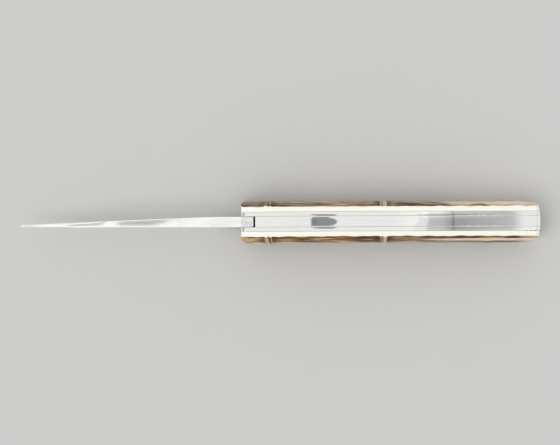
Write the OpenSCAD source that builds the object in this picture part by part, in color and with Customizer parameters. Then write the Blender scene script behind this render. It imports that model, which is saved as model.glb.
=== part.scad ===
// Slip-joint pocket knife, open, standing on the flat belly of its handle.
// X runs along the knife with the point at -X, Z is up with the spine on top,
// and -Y is the left side, where the nail nick is.
// Inside this file u is the distance behind the front end of the handle, so the blade has u below 0.

/* [Handle] */
// Length of the handle
handle_len = 100; // [90:1:120]
// Height of the handle where its back is highest
handle_h = 16.4; // [16:0.1:19]
// Distance from the front end to where the back is highest
back_apex = 42; // [34:1:52]
// Radius of the long arch of the back
back_r = 520; // [480:10:900]
// Width of the handle over both scales, between its rings
handle_w = 14; // [13.5:0.1:17]
// Radius of the convex butt end, seen from above
butt_end_r = 25; // [18:1:60]
// Distance before the butt end where the sides start to draw in
butt_draw_len = 10.3; // [6:0.1:16]
// How far each side draws in at the butt end
butt_draw = 1; // [0.2:0.1:1.5]
// Radius of the back's corner at the front end
front_top_r = 1.3; // [0.5:0.1:2.5]
// Radius of the belly's corner at the front end
front_belly_r = 3.6; // [1:0.1:5]
// Radius of the back's corner at the butt
butt_top_r = 1.4; // [0.5:0.1:3]
// Radius of the belly's corner at the butt
butt_belly_r = 4.5; // [1:0.1:6]
// Depth of the shallow finger relief in the belly
relief_depth = 1.3; // [0.3:0.1:2]
// Length of the finger relief
relief_len = 44; // [30:1:50]
// Distance from the front end to the middle of the relief
relief_mid = 38; // [34:1:44]

/* [Scales] */
// Width of the flat cut edge of a scale, seen from above
cut_edge_w = 1.75; // [1.2:0.05:2.4]
// Height of the skin's round section
skin_h = 16.4; // [15:0.1:20]
// Corner radius of the left scale at the front end, seen from above
left_corner_r = 2.3; // [0.5:0.1:3]
// Corner radius of the right scale at the front end, seen from above
right_corner_r = 1.3; // [0.5:0.1:3]
// Height of the front ring above the skin
front_ring_h = 0.32; // [0.16:0.01:0.5]
// Height of the middle ring, which is rubbed down
middle_ring_h = 0.12; // [0.05:0.01:0.14]
// Radius of a ring's broad rounded lobe
ring_broad_r = 1.1; // [0.7:0.05:1.6]
// Radius of a ring's narrow lobe
ring_narrow_r = 0.65; // [0.4:0.05:1]
// Height of the broad low swelling at the rear
rear_swell_h = 0.12; // [0.04:0.01:0.14]
// Radius of the rear swelling's rounded top
rear_swell_r = 18; // [8:0.5:20]
// Distance between the two lobes of a ring
ring_pitch = 1.5; // [1:0.05:2.2]
// Distance from the front end to the front ring of each scale
front_ring_u = 9; // [8:0.1:14]
// Distance from the front end to the middle ring of each scale
middle_ring_u = 47.3; // [40:0.1:52]
// Distance from the front end to the rear swelling of the left scale
left_rear_swell_u = 82.4; // [78:0.1:88]
// Distance from the front end to the rear swelling of the right scale
right_rear_swell_u = 92.6; // [86:0.1:94]

/* [Liners] */
// Thickness of a liner
liner_t = 1.5; // [1:0.05:2]

/* [Blade] */
// Length of blade in front of the handle
blade_reach = 73.9; // [66:0.1:78]
// Thickness of the blade's stock
blade_t = 3.4; // [2.8:0.05:4]
// Height of the blade where it leaves the handle
blade_h = 13.1; // [12:0.05:13.4]
// How far the spine falls towards the point below its straight run
point_drop = 1.6; // [0.8:0.1:2.6]
// Height left at the very tip
tip_h = 0.4; // [0.3:0.05:0.8]
// Distance in front of the handle where the edge begins to sweep up
sweep_start = 38; // [30:1:46]
// How far the left face leans in along the first half of the blade
left_taper = 0.24; // [0:0.01:0.4]
// Distance in front of the handle where the left face has leant in that far
left_taper_end = 38; // [30:1:50]
// How far the left face steps in further at the point
left_point_taper = 0.25; // [0:0.01:0.4]
// Distance in front of the handle where the left face starts to step in
left_point_start = 54; // [50:1:60]
// Length over which the left face steps in
left_point_len = 9; // [6:1:14]
// How far the right face leans in towards the tip
right_taper = 2.25; // [1.8:0.05:2.4]
// How late the right face's lean sets in
right_taper_power = 1.15; // [1:0.05:1.4]
// Distance in front of the handle where the faces start to lean in
taper_start = 8; // [6:0.5:14]
// Length of the full-thickness ricasso in front of the handle
ricasso_len = 3; // [2.6:0.1:4]
// Length over which the ground faces sink in from the ricasso
plunge_len = 4.5; // [3:0.1:7]
// How far the ground faces are sunk below the ricasso
grind_inset = 0.02; // [0.01:0.01:0.1]
// Depth of the hollow in each ground face
hollow = 0.12; // [0:0.01:0.2]
// Height of the narrow bevel that forms the cutting edge
bevel_h = 0.7; // [0.4:0.05:1.2]
// Thickness of the blade at the top of the cutting bevel
bevel_t = 0.5; // [0.3:0.05:0.8]
// Width of the rounding along each side of the spine
crown_w = 0.3; // [0.1:0.05:0.5]
// Extra width of the rounding along the false edge near the point
false_edge_w = 0.45; // [0:0.05:0.6]
// Distance in front of the handle where the false edge starts
false_edge_start = 44; // [38:1:52]
// Length over which the false edge grows to its full width
false_edge_grow = 8; // [4:0.5:14]
// Radius of the notch at the heel of the edge
choil_r = 0.9; // [0.5:0.05:1.4]
// Distance in front of the handle of the notch at the heel
choil_out = 7.2; // [6.5:0.1:9]

/* [Nail nick] */
// Distance in front of the handle of the middle of the nick
nick_out = 24; // [18:1:34]
// Length of the nick
nick_len = 15; // [10:0.5:18]
// Depth of the nick
nick_depth = 0.5; // [0.3:0.05:0.7]
// Height of the nick's sloping side
nick_h = 1.5; // [1:0.1:2]
// Distance of the nick's sharp upper lip below the spine
nick_below = 1.9; // [1.4:0.1:3]

/* [Tang and pivot] */
// Distance of the pivot behind the front end
pivot_in = 5.6; // [5.2:0.1:6.4]
// Distance of the pivot below the back
pivot_depth = 8.7; // [8.3:0.05:9]
// Distance from the pivot to each flat of the tang
tang_flat = 4; // [3.6:0.05:4.3]
// Radius of the tang's rear corners
tang_corner_r = 1.2; // [0.6:0.1:2]
// Distance from the pivot forward to the shoulder that faces the spring's tip
shoulder_in = 1.37; // [1:0.01:1.8]
// Distance behind the front end where the kick ends
kick_in = 0.4; // [0.1:0.05:0.8]
// Length of the kick that stops the closed blade
kick_len = 2.3; // [1.2:0.1:2.8]
// Radius of the pivot pin
pivot_pin_r = 1.5; // [1.2:0.05:1.8]
// Outer radius of the pivot bush
bush_r = 2.4; // [2.2:0.05:2.6]
// Outer radius of a pivot washer
washer_r = 3.7; // [3.2:0.05:3.9]
// Depth of the seat let into each liner for its washer and the bush
seat_depth = 0.25; // [0.15:0.01:0.4]
// Outer radius of a pivot collar
collar_r = 2.1; // [1.9:0.05:2.2]
// Depth of a pivot collar from the widest point of the skin
collar_t = 1.2; // [0.8:0.05:1.6]

/* [Backspring] */
// Black gap between the tang's shoulder and the spring's tip
tip_gap = 0.44; // [0.3:0.01:0.7]
// Length of the spring's tip that presses on the tang
tip_len = 3.9; // [3.4:0.1:4.2]
// Length of the slope between the spring's tip and its bar
tip_slope_len = 1.6; // [1.2:0.1:2.4]
// Distance from the front end to where the spring deepens into its tail
tail_start = 70; // [64:1:74]
// Length of the slope into the tail
tail_slope_len = 15; // [10:0.5:18]
// Depth of the tail below the back
tail_depth = 6; // [5.2:0.1:6.6]
// Radius of the middle pin and of the butt pin
spring_pin_r = 1.1; // [0.8:0.05:1.3]
// Distance of the middle pin behind the front end
spring_pin_in = 57; // [50:1:62]
// Distance of the butt pin before the butt end
butt_pin_out = 9; // [7:0.1:12]

/* [Scale rivets] */
// Radius of a scale rivet
rivet_r = 0.95; // [0.7:0.05:1.2]
// Distance of the front rivets behind the front end
front_rivet_in = 26; // [20:1:32]
// Distance of the middle rivets behind the front end
middle_rivet_in = 53; // [51:1:60]
// Distance of the rear rivets before the butt end
rear_rivet_out = 13; // [9:1:14]
// Depth of the rivets below the back
rivet_depth = 9.8; // [9:0.1:10.4]

/* [Fits] */
// Gap between the blade's stock and each liner
side_gap = 0.1; // [0.04:0.01:0.12]
// Radial gap between the tang's bore and the bush
run_gap = 0.03; // [0.01:0.01:0.08]
// Gap between a washer and the tang
washer_gap = 0.02; // [0.01:0.01:0.04]
// Radial gap between a washer or collar and what it lies round or in
ring_gap = 0.05; // [0.02:0.01:0.1]
// Radial gap between a pin and its hole
pin_gap = 0.01; // [0.005:0.005:0.03]
// Gap between the spring's tip and the tang's flat
seat_gap = 0.03; // [0.01:0.01:0.1]
// Gap between the kick and the underside of the spring when the blade is closed
kick_gap = 0.05; // [0.02:0.01:0.2]
// Gap between the closed edge and the underside of the spring
edge_gap = 0.6; // [0.4:0.05:1]

/* [Hidden] */

steel_colour = "gainsboro";
skin_colour = "peru";
bronze_colour = "darkgoldenrod";
long_arc_fn = 1440;
arc_fn = 180;
bore_fn = 96;
lobe_fn = 48;
swell_fn = 360;
spill = 2;              // how far a cutting shape reaches past what it cuts
ring_room = 0.1;        // room left outside the rings

// Layers, from the middle outwards
half_w = handle_w / 2;
slot_y = blade_t / 2 + side_gap;
liner_y = slot_y + liner_t;
skin_edge_y = liner_y + cut_edge_w;

// Places along the knife: the middle of its whole length is at x = 0
front_x = (blade_reach - handle_len) / 2;
back_centre_z = handle_h - back_r;
butt_pin_u = handle_len - butt_pin_out;
rear_rivet_u = handle_len - rear_rivet_out;
spring_tip_u = pivot_in - shoulder_in + tip_gap;

// Height of the back at distance u behind the front end
function back_z(u) = back_centre_z + sqrt(back_r * back_r - (u - back_apex) * (u - back_apex));
// Angle of the back's normal at u, counted from +X towards +Z
function back_angle(u) = 90 - asin((u - back_apex) / back_r);

front_z = back_z(0);
front_slope = back_apex / (front_z - back_centre_z);
pivot_z = back_z(pivot_in) - pivot_depth;
edge_z = front_z - blade_h;
edge_below = pivot_z - edge_z;                  // the straight edge lies this far below the pivot
bar_above = edge_below + edge_gap;              // and the spring's underside this far above it
kick_below = bar_above - kick_gap;
spring_pin_z = (back_z(spring_pin_in) + pivot_z + bar_above) / 2;
butt_pin_z = back_z(butt_pin_u) - tail_depth / 2;

// Round section of the skin: an arc through both cut edges, as high as skin_h
skin_bulge = half_w - skin_edge_y;
skin_r = (skin_h * skin_h / 4 + skin_bulge * skin_bulge) / (2 * skin_bulge);
skin_mid = back_r - skin_h / 2;

// Blade: s is the distance in front of the handle
loft_start = ricasso_len - 1;
loft_span = blade_reach - loft_start;
loft_steps = 46;
crowding = 0.49;        // share by which the stations close up at both ends
sweep_power = 2.2;      // how late the edge's sweep sets in
drop_power = 4;         // how late the spine falls away
keen_half = 0.03;       // half the thickness left at the edge itself
tip_z = front_z - front_slope * blade_reach - point_drop;
plunge_start = ricasso_len + 1;

function ease(t) = t <= 0 ? 0 : t >= 1 ? 1 : t * t * (3 - 2 * t);
function mix(a, b, t) = a + (b - a) * t;
function left_face(s) =
  -blade_t / 2 + left_taper * ease((s - taper_start) / (left_taper_end - taper_start))
  + left_point_taper * ease((s - left_point_start) / left_point_len);
function right_face(s) =
  blade_t / 2 - right_taper * pow(max(0, s - taper_start) / (blade_reach - taper_start), right_taper_power);
function spine_line(s) = front_z - front_slope * s - point_drop * pow(s / blade_reach, drop_power);
function edge_line(s) =
  mix(edge_z, tip_z - tip_h, pow(max(0, s - sweep_start) / (blade_reach - sweep_start), sweep_power));

// Stations crowd together at the plunge and at the tip
function station(i) = let (t = i / loft_steps)
  loft_start + loft_span * (t - crowding * sin(360 * t) / (2 * PI));

// One section of the ground blade as [y, z], round from the spine's left side
function blade_section(s) =
  let (
    ground = ease((s - plunge_start) / plunge_len),
    left = left_face(s) + grind_inset,
    right = right_face(s) - grind_inset,
    top = spine_line(s) - grind_inset,
    foot = edge_line(s) + (s < plunge_start ? grind_inset : 0),
    tall = top - foot,
    half = (right - left) / 2,
    mid = (left + right) / 2,
    crown = min(crown_w, half * 0.4),
    bevel_up = min(bevel_h, tall * 0.3),
    shoulder = mix(half, min(bevel_t / 2, half * 0.6), ground),
    keen = mix(half, keen_half, ground),
    false_w = false_edge_w * ease((s - false_edge_start) / false_edge_grow),
    right_cut = min(crown + false_w, half * 0.9),
    flank = (half + shoulder) / 2 - min(hollow * ground, half * 0.2),
    waist = foot + bevel_up + (tall - bevel_up) / 2
  )
  [
    [left + crown, top],
    [right - right_cut, top],
    [right, top - min(right_cut, tall * 0.3)],
    [mid + flank, waist],
    [mid + shoulder, foot + bevel_up],
    [mid + keen, foot],
    [mid - keen, foot],
    [mid - shoulder, foot + bevel_up],
    [mid - flank, waist],
    [left, top - min(crown, tall * 0.3)]
  ];
section_points = 10;
function section_middle(s) =
  [-s, (left_face(s) + right_face(s)) / 2, (spine_line(s) + edge_line(s)) / 2];

// Closes the corner between two tangents of a circle at c, from angle a1 to a2
module corner_cut(c, r, a1, a2) {
  reach = 1.25 * r;
  far = reach / cos((a2 - a1) / 2);
  middle = (a1 + a2) / 2;
  difference() {
    polygon([
      c,
      c + reach * [cos(a1), sin(a1)],
      c + far * [cos(middle), sin(middle)],
      c + reach * [cos(a2), sin(a2)]
    ]);
    translate(c) circle(r = r, $fn = bore_fn);
  }
}

module back_disc() {
  translate([back_apex, back_centre_z]) circle(r = back_r, $fn = long_arc_fn);
}

// Height of the centre of a fillet that touches the back from below, at u
function under_back(u, r) =
  back_centre_z + sqrt((back_r - r) * (back_r - r) - (u - back_apex) * (u - back_apex));
function fillet_angle(u, r) = atan2(under_back(u, r) - back_centre_z, u - back_apex);

// Side view of the handle, as [u, z]
module side_outline() {
  relief_r = (relief_len * relief_len / 4 + relief_depth * relief_depth) / (2 * relief_depth);
  butt_u = handle_len - butt_top_r;
  difference() {
    intersection() {
      back_disc();
      square([handle_len, handle_h + spill]);
    }
    translate([relief_mid, relief_depth - relief_r]) circle(r = relief_r, $fn = long_arc_fn);
    corner_cut([front_top_r, under_back(front_top_r, front_top_r)], front_top_r,
      180, fillet_angle(front_top_r, front_top_r));
    corner_cut([butt_u, under_back(butt_u, butt_top_r)], butt_top_r,
      fillet_angle(butt_u, butt_top_r), 0);
    corner_cut([front_belly_r, front_belly_r], front_belly_r, 180, 270);
    corner_cut([handle_len - butt_belly_r, butt_belly_r], butt_belly_r, 270, 360);
  }
}

// View of the handle from above, as [u, y]
module plan_outline() {
  wide = half_w + front_ring_h + ring_room;
  drawn = half_w - butt_draw;
  difference() {
    intersection() {
      polygon([
        [0, -wide], [handle_len - butt_draw_len, -wide], [handle_len, -drawn],
        [handle_len, drawn], [handle_len - butt_draw_len, wide], [0, wide]
      ]);
      union() {
        translate([0, -wide]) square([handle_len - butt_end_r, 2 * wide]);
        translate([handle_len - butt_end_r, 0]) circle(r = butt_end_r, $fn = long_arc_fn / 2);
      }
    }
    corner_cut([right_corner_r, half_w - right_corner_r], right_corner_r, 90, 180);
    corner_cut([left_corner_r, left_corner_r - half_w], left_corner_r, 180, 270);
  }
}

// Turns a shape drawn in the side view into a plate between two y values
module plate(y1, y2) {
  translate([0, y2, 0]) rotate([90, 0, 0]) linear_extrude(y2 - y1) children();
}

// A round bar along Y
module bar(u, z, r, y1, y2) {
  translate([u, y2, z]) rotate([90, 0, 0]) cylinder(h = y2 - y1, r = r, $fn = bore_fn);
}

// Everything inside the handle's outline in both views, between two y values
module handle_block(y1, y2) {
  intersection() {
    plate(y1, y2) side_outline();
    translate([0, 0, -spill]) linear_extrude(handle_h + 2 * spill) plan_outline();
  }
}

// The left half of the skin: the round section swept along the back, with rings and swellings
module left_skin_form(lobes, swells) {
  sweep_from = back_angle(handle_len + spill);
  sweep_to = back_angle(-spill);
  translate([back_apex, 0, back_centre_z]) rotate([90, 0, 0]) {
    rotate([0, 0, sweep_from]) rotate_extrude(angle = sweep_to - sweep_from, $fn = long_arc_fn)
      intersection() {
        translate([skin_mid, half_w - skin_r]) circle(r = skin_r, $fn = arc_fn);
        translate([back_r - skin_h - spill, -slot_y]) square([skin_h + 2 * spill, half_w + slot_y + spill]);
      }
    for (lobe = lobes) let (u = lobe[0], h = lobe[1], r = lobe[2])
      bent_round_skin(u) translate([skin_r + h - r, 0]) circle(r = r, $fn = lobe_fn);
    for (u = swells)
      bent_round_skin(u) intersection() {
        translate([skin_r + rear_swell_h - rear_swell_r, 0]) circle(r = rear_swell_r, $fn = swell_fn);
        translate([skin_r - spill, -rear_swell_r]) square([2 * spill, 2 * rear_swell_r]);
      }
  }
}

// Bends a profile round the skin's section at u
module bent_round_skin(u) {
  rotate([0, 0, back_angle(u)]) translate([skin_mid, 0, half_w - skin_r]) rotate([90, 0, 0])
    rotate_extrude($fn = arc_fn) children();
}

// The two lobes of a ring as [u, height, radius], the one nearer the front first
function ring_lobes(u, h, front_r, rear_r) =
  [[u - ring_pitch / 2, h, front_r], [u + ring_pitch / 2, h, rear_r]];
skin_lobes = concat(
  ring_lobes(front_ring_u, front_ring_h, ring_broad_r, ring_narrow_r),
  ring_lobes(middle_ring_u, middle_ring_h, ring_narrow_r, ring_broad_r)
);
rivet_places = [front_rivet_in, middle_rivet_in, rear_rivet_u];

// A scale on the left side, with the seats for the pin, its collar and the rivets
module left_scale_solid(rear_swell_u) {
  difference() {
    intersection() {
      left_skin_form(skin_lobes, [rear_swell_u]);
      handle_block(-half_w - spill, -liner_y);
    }
    bar(pivot_in, pivot_z, pivot_pin_r + pin_gap, -half_w - spill, -slot_y);
    bar(pivot_in, pivot_z, collar_r + ring_gap, -half_w - spill, collar_t - half_w);
    for (u = rivet_places)
      bar(u, back_z(u) - rivet_depth, rivet_r + pin_gap, -half_w - spill, -slot_y);
  }
}

// A bar that ends flush with the left skin
module flush_bar(u, z, r, inner_y) {
  intersection() {
    left_skin_form([], []);
    bar(u, z, r, -half_w - spill, -inner_y);
  }
}

module left_collar_solid() {
  difference() {
    flush_bar(pivot_in, pivot_z, collar_r, half_w - collar_t);
    bar(pivot_in, pivot_z, pivot_pin_r + pin_gap, -half_w - spill, 0);
  }
}

module left_washer_solid() {
  difference() {
    bar(pivot_in, pivot_z, washer_r, -slot_y - seat_depth, -blade_t / 2 - washer_gap);
    bar(pivot_in, pivot_z, bush_r + ring_gap, -liner_y, 0);
  }
}

module left_liner_solid() {
  difference() {
    handle_block(-liner_y, -slot_y);
    bar(pivot_in, pivot_z, pivot_pin_r + pin_gap, -liner_y - spill, 0);
    bar(pivot_in, pivot_z, washer_r + ring_gap, -slot_y - seat_depth, 0);
    bar(spring_pin_in, spring_pin_z, spring_pin_r + pin_gap, -liner_y - spill, 0);
    bar(butt_pin_u, butt_pin_z, spring_pin_r + pin_gap, -liner_y - spill, 0);
    for (u = rivet_places)
      bar(u, back_z(u) - rivet_depth, rivet_r + pin_gap, -liner_y - spill, 0);
  }
}

module left_rivet_solid(u) {
  flush_bar(u, back_z(u) - rivet_depth, rivet_r, slot_y);
}

module on_left() { translate([front_x, 0, 0]) children(); }
module on_right() { translate([front_x, 0, 0]) mirror([0, 1, 0]) children(); }

// The underside of the spring: its tip on the tang, the straight bar and the deeper tail
module backspring() {
  tip_z_under = pivot_z + tang_flat + seat_gap;
  bar_z_under = pivot_z + bar_above;
  tip_end = spring_tip_u + tip_len;
  color(steel_colour) on_left() difference() {
    intersection() {
      handle_block(-slot_y, slot_y);
      plate(-slot_y, slot_y) polygon([
        [spring_tip_u, tip_z_under], [tip_end, tip_z_under],
        [tip_end + tip_slope_len, bar_z_under], [tail_start, bar_z_under],
        [tail_start + tail_slope_len, back_z(tail_start + tail_slope_len) - tail_depth],
        [handle_len + spill, back_z(handle_len) - tail_depth],
        [handle_len + spill, handle_h + spill], [spring_tip_u, handle_h + spill]
      ]);
    }
    bar(spring_pin_in, spring_pin_z, spring_pin_r + pin_gap, -slot_y - spill, slot_y + spill);
    bar(butt_pin_u, butt_pin_z, spring_pin_r + pin_gap, -slot_y - spill, slot_y + spill);
  }
}

// Side view of the tang and the ricasso, as [u, z]
module tang_outline() {
  low = pivot_z - tang_flat;
  kick_z = pivot_z - kick_below;
  shoulder_u = pivot_in - shoulder_in;
  front_flat = pivot_in - tang_flat;
  rear_c = pivot_in + tang_flat - tang_corner_r;
  difference() {
    union() {
      translate([front_flat, low]) square(2 * tang_flat);
      intersection() {
        back_disc();
        polygon([
          [shoulder_u, pivot_z], [shoulder_u, handle_h + spill],
          [-ricasso_len, handle_h + spill], [-ricasso_len, edge_z],
          [kick_in - kick_len, kick_z], [kick_in, kick_z],
          [front_flat, low], [shoulder_u, low]
        ]);
      }
    }
    corner_cut([rear_c, pivot_z + tang_flat - tang_corner_r], tang_corner_r, 0, 90);
    corner_cut([rear_c, low + tang_corner_r], tang_corner_r, 270, 360);
  }
}

// The ground part of the blade, lofted through its sections
module ground_blade() {
  m = section_points;
  points = [
    for (i = [0:loft_steps]) let (s = station(i)) for (p = blade_section(s)) [-s, p[0], p[1]]
  ];
  skin = [
    for (i = [0:loft_steps - 1], j = [0:m - 1])
      let (a = i * m + j, b = i * m + (j + 1) % m) each [[a, b + m, b], [a, a + m, b + m]]
  ];
  root = [for (j = [0:m - 1]) [len(points), j, (j + 1) % m]];
  last = loft_steps * m;
  tip = [for (j = [0:m - 1]) [len(points) + 1, last + (j + 1) % m, last + j]];
  middles = [section_middle(station(0)), section_middle(station(loft_steps))];
  polyhedron(points = concat(points, middles), faces = concat(skin, root, tip), convexity = 4);
}

// The nick is cut as by the rim of a thin grinding wheel
module nail_nick() {
  wheel_r = (nick_len * nick_len / 4 + nick_depth * nick_depth) / (2 * nick_depth);
  face = left_face(nick_out);
  translate([-nick_out, face + nick_depth - wheel_r, spine_line(nick_out) - nick_below])
    rotate([0, atan(front_slope), 0])
      rotate_extrude($fn = long_arc_fn / 2)
        polygon([[wheel_r - 3 * nick_depth, 0], [wheel_r, 0], [wheel_r - 3 * nick_depth, -3 * nick_h]]);
}

module blade() {
  color(steel_colour) on_left() difference() {
    union() {
      plate(-blade_t / 2, blade_t / 2) tang_outline();
      ground_blade();
    }
    bar(pivot_in, pivot_z, bush_r + run_gap, -slot_y - spill, slot_y + spill);
    bar(-choil_out, edge_z, choil_r, -slot_y - spill, slot_y + spill);
    nail_nick();
  }
}

module left_liner() { color(steel_colour) on_left() left_liner_solid(); }
module right_liner() { color(steel_colour) on_right() left_liner_solid(); }
module left_scale() { color(skin_colour) on_left() left_scale_solid(left_rear_swell_u); }
module right_scale() { color(skin_colour) on_right() left_scale_solid(right_rear_swell_u); }

// The pivot pin is ground flush with both skins
module pivot_pin() {
  color(steel_colour) union() {
    on_left() flush_bar(pivot_in, pivot_z, pivot_pin_r, -slot_y);
    on_right() flush_bar(pivot_in, pivot_z, pivot_pin_r, -slot_y);
  }
}

module pivot_bush() {
  end_y = slot_y + seat_depth;
  color(steel_colour) on_left() difference() {
    bar(pivot_in, pivot_z, bush_r, -end_y, end_y);
    bar(pivot_in, pivot_z, pivot_pin_r + pin_gap, -liner_y, liner_y);
  }
}

module left_pivot_washer() { color(bronze_colour) on_left() left_washer_solid(); }
module right_pivot_washer() { color(bronze_colour) on_right() left_washer_solid(); }
module left_pivot_collar() { color(steel_colour) on_left() left_collar_solid(); }
module right_pivot_collar() { color(steel_colour) on_right() left_collar_solid(); }

module spring_pin() {
  color(steel_colour) on_left() bar(spring_pin_in, spring_pin_z, spring_pin_r, -liner_y, liner_y);
}

module butt_pin() {
  color(steel_colour) on_left() bar(butt_pin_u, butt_pin_z, spring_pin_r, -liner_y, liner_y);
}

module left_front_scale_rivet() { color(steel_colour) on_left() left_rivet_solid(front_rivet_in); }
module left_middle_scale_rivet() { color(steel_colour) on_left() left_rivet_solid(middle_rivet_in); }
module left_rear_scale_rivet() { color(steel_colour) on_left() left_rivet_solid(rear_rivet_u); }
module right_front_scale_rivet() { color(steel_colour) on_right() left_rivet_solid(front_rivet_in); }
module right_middle_scale_rivet() { color(steel_colour) on_right() left_rivet_solid(middle_rivet_in); }
module right_rear_scale_rivet() { color(steel_colour) on_right() left_rivet_solid(rear_rivet_u); }

blade();
backspring();
left_liner();
right_liner();
left_scale();
right_scale();
pivot_pin();
pivot_bush();
left_pivot_washer();
right_pivot_washer();
left_pivot_collar();
right_pivot_collar();
spring_pin();
butt_pin();
left_front_scale_rivet();
left_middle_scale_rivet();
left_rear_scale_rivet();
right_front_scale_rivet();
right_middle_scale_rivet();
right_rear_scale_rivet();
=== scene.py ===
import math

import bmesh
import bpy
from mathutils import Matrix, Vector, noise


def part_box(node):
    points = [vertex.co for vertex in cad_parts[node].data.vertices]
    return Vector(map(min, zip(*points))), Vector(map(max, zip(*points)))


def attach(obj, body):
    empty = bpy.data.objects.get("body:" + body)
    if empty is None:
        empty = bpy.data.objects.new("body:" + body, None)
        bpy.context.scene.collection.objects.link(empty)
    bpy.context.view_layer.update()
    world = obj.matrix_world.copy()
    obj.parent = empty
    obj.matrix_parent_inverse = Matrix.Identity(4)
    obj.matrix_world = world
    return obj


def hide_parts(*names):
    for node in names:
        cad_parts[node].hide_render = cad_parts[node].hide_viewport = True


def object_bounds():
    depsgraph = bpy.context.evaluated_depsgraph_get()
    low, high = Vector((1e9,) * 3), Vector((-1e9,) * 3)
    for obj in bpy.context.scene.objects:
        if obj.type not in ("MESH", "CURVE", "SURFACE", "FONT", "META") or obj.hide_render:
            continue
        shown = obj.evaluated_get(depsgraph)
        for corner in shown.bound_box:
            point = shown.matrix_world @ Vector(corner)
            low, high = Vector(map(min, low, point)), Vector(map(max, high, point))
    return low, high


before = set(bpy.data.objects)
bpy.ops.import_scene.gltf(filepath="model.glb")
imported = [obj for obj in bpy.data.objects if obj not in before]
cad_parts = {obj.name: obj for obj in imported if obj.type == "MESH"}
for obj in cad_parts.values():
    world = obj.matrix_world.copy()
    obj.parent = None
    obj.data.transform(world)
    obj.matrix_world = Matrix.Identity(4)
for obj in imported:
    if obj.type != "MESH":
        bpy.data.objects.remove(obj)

# A slip-joint pocket knife lying open, seen straight down on its back.
# Sizes below are in millimetres. u is the distance behind the front end of the handle.

mm = 0.001
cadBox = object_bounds()


def nodeBox(node):
    low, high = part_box(node)
    return low / mm, high / mm


linerLow, linerHigh = nodeBox("right_liner")
springLow, springHigh = nodeBox("backspring")
bladeLow, bladeHigh = nodeBox("blade")


def smooth(t):
    t = min(1.0, max(0.0, t))
    return t * t * (3 - 2 * t)


def mix(a, b, t):
    return a + (b - a) * t


def softMin(a, b, softness):
    return (a + b - math.sqrt((a - b) ** 2 + softness * softness)) / 2


# Radius of an arc from its chord and its rise
def arcRadius(chord, rise):
    return (chord ** 2 / 4 + rise ** 2) / (2 * rise)


# Height of a circle of radius r, drawn in by inset, at some distance off its middle
def circleHeight(r, off, inset=0.0):
    return math.sqrt(max(0, (r - inset) ** 2 - off ** 2))


# Angles from 0 to a right angle
def quarterTurn(steps):
    return [math.radians(90 * i / steps) for i in range(steps + 1)]


# Points on an arc about (u, z), from one angle to another in degrees
def arc(u, z, r, start, end, steps=12):
    angles = [math.radians(mix(start, end, i / steps)) for i in range(steps + 1)]
    return [(u + r * math.cos(a), z + r * math.sin(a)) for a in angles]


handle = {
    "front": linerLow.x,
    "length": round(springHigh.x - linerLow.x, 2),
    "height": linerHigh.z,
    "backRadius": 520.0,
    "backApex": 42.0,
    "frontTopRadius": 1.3,
    "frontBellyRadius": 3.6,
    "buttTopRadius": 1.4,
    "buttBellyRadius": 4.5,
    "reliefDepth": 1.3,
    "reliefLength": 44.0,
    "reliefMiddle": 38.0,
    "buttCurve": 25.0,
    "buttBlend": 3.0,
    "backRun": (1.25, 1.3),                     # the back's own points stop this far from its ends
    "cornerMeets": (94.5, 84.0),                # degrees at which the upper corners run into the back
    "backSpacing": 0.5,
    "endSpaces": 8,
}
backCentreZ = handle["height"] - handle["backRadius"]
reliefRadius = arcRadius(handle["reliefLength"], handle["reliefDepth"])


def underBack(u, inset=0.0):
    return backCentreZ + math.sqrt((handle["backRadius"] - inset) ** 2 - (u - handle["backApex"]) ** 2)


# Upper edge of the side view, drawn in by inset
def topLine(u, inset=0.0):
    frontR, buttR = handle["frontTopRadius"], handle["buttTopRadius"]
    buttU = handle["length"] - buttR
    line = underBack(u, inset)
    if u < frontR:
        line = min(line, underBack(frontR, frontR) + circleHeight(frontR, u - frontR, inset))
    if u > buttU:
        line = min(line, underBack(buttU, buttR) + circleHeight(buttR, u - buttU, inset))
    return line


# Lower edge of the side view, drawn in by inset
def bellyLine(u, inset=0.0):
    frontR, buttR = handle["frontBellyRadius"], handle["buttBellyRadius"]
    buttU = handle["length"] - buttR
    if u < frontR:
        return frontR - circleHeight(frontR, u - frontR, inset)
    if u > buttU:
        return buttR - circleHeight(buttR, u - buttU, inset)
    wide, along = reliefRadius + inset, u - handle["reliefMiddle"]
    return max(inset, handle["reliefDepth"] - reliefRadius + math.sqrt(wide * wide - along * along))


# The butt end is an arc seen from above, so what lies near it moves forward with y
def buttShift(u, y):
    near = smooth((u - handle["length"] + handle["buttBlend"]) / handle["buttBlend"])
    curve = handle["buttCurve"]
    return -near * (curve - circleHeight(curve, y))


def place(u, y, z):
    return (handle["front"] + u + buttShift(u, y), y, z)


# Points along the back, then round the butt's upper corner
def backLine(start, count):
    length, r = handle["length"], handle["buttTopRadius"]
    run = [mix(start, length - handle["backRun"][1], i / (count - 1)) for i in range(count)]
    corner = arc(length - r, underBack(length - r, r), r, handle["cornerMeets"][1], 0)
    return [(u, topLine(u)) for u in run] + corner[1:]


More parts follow.
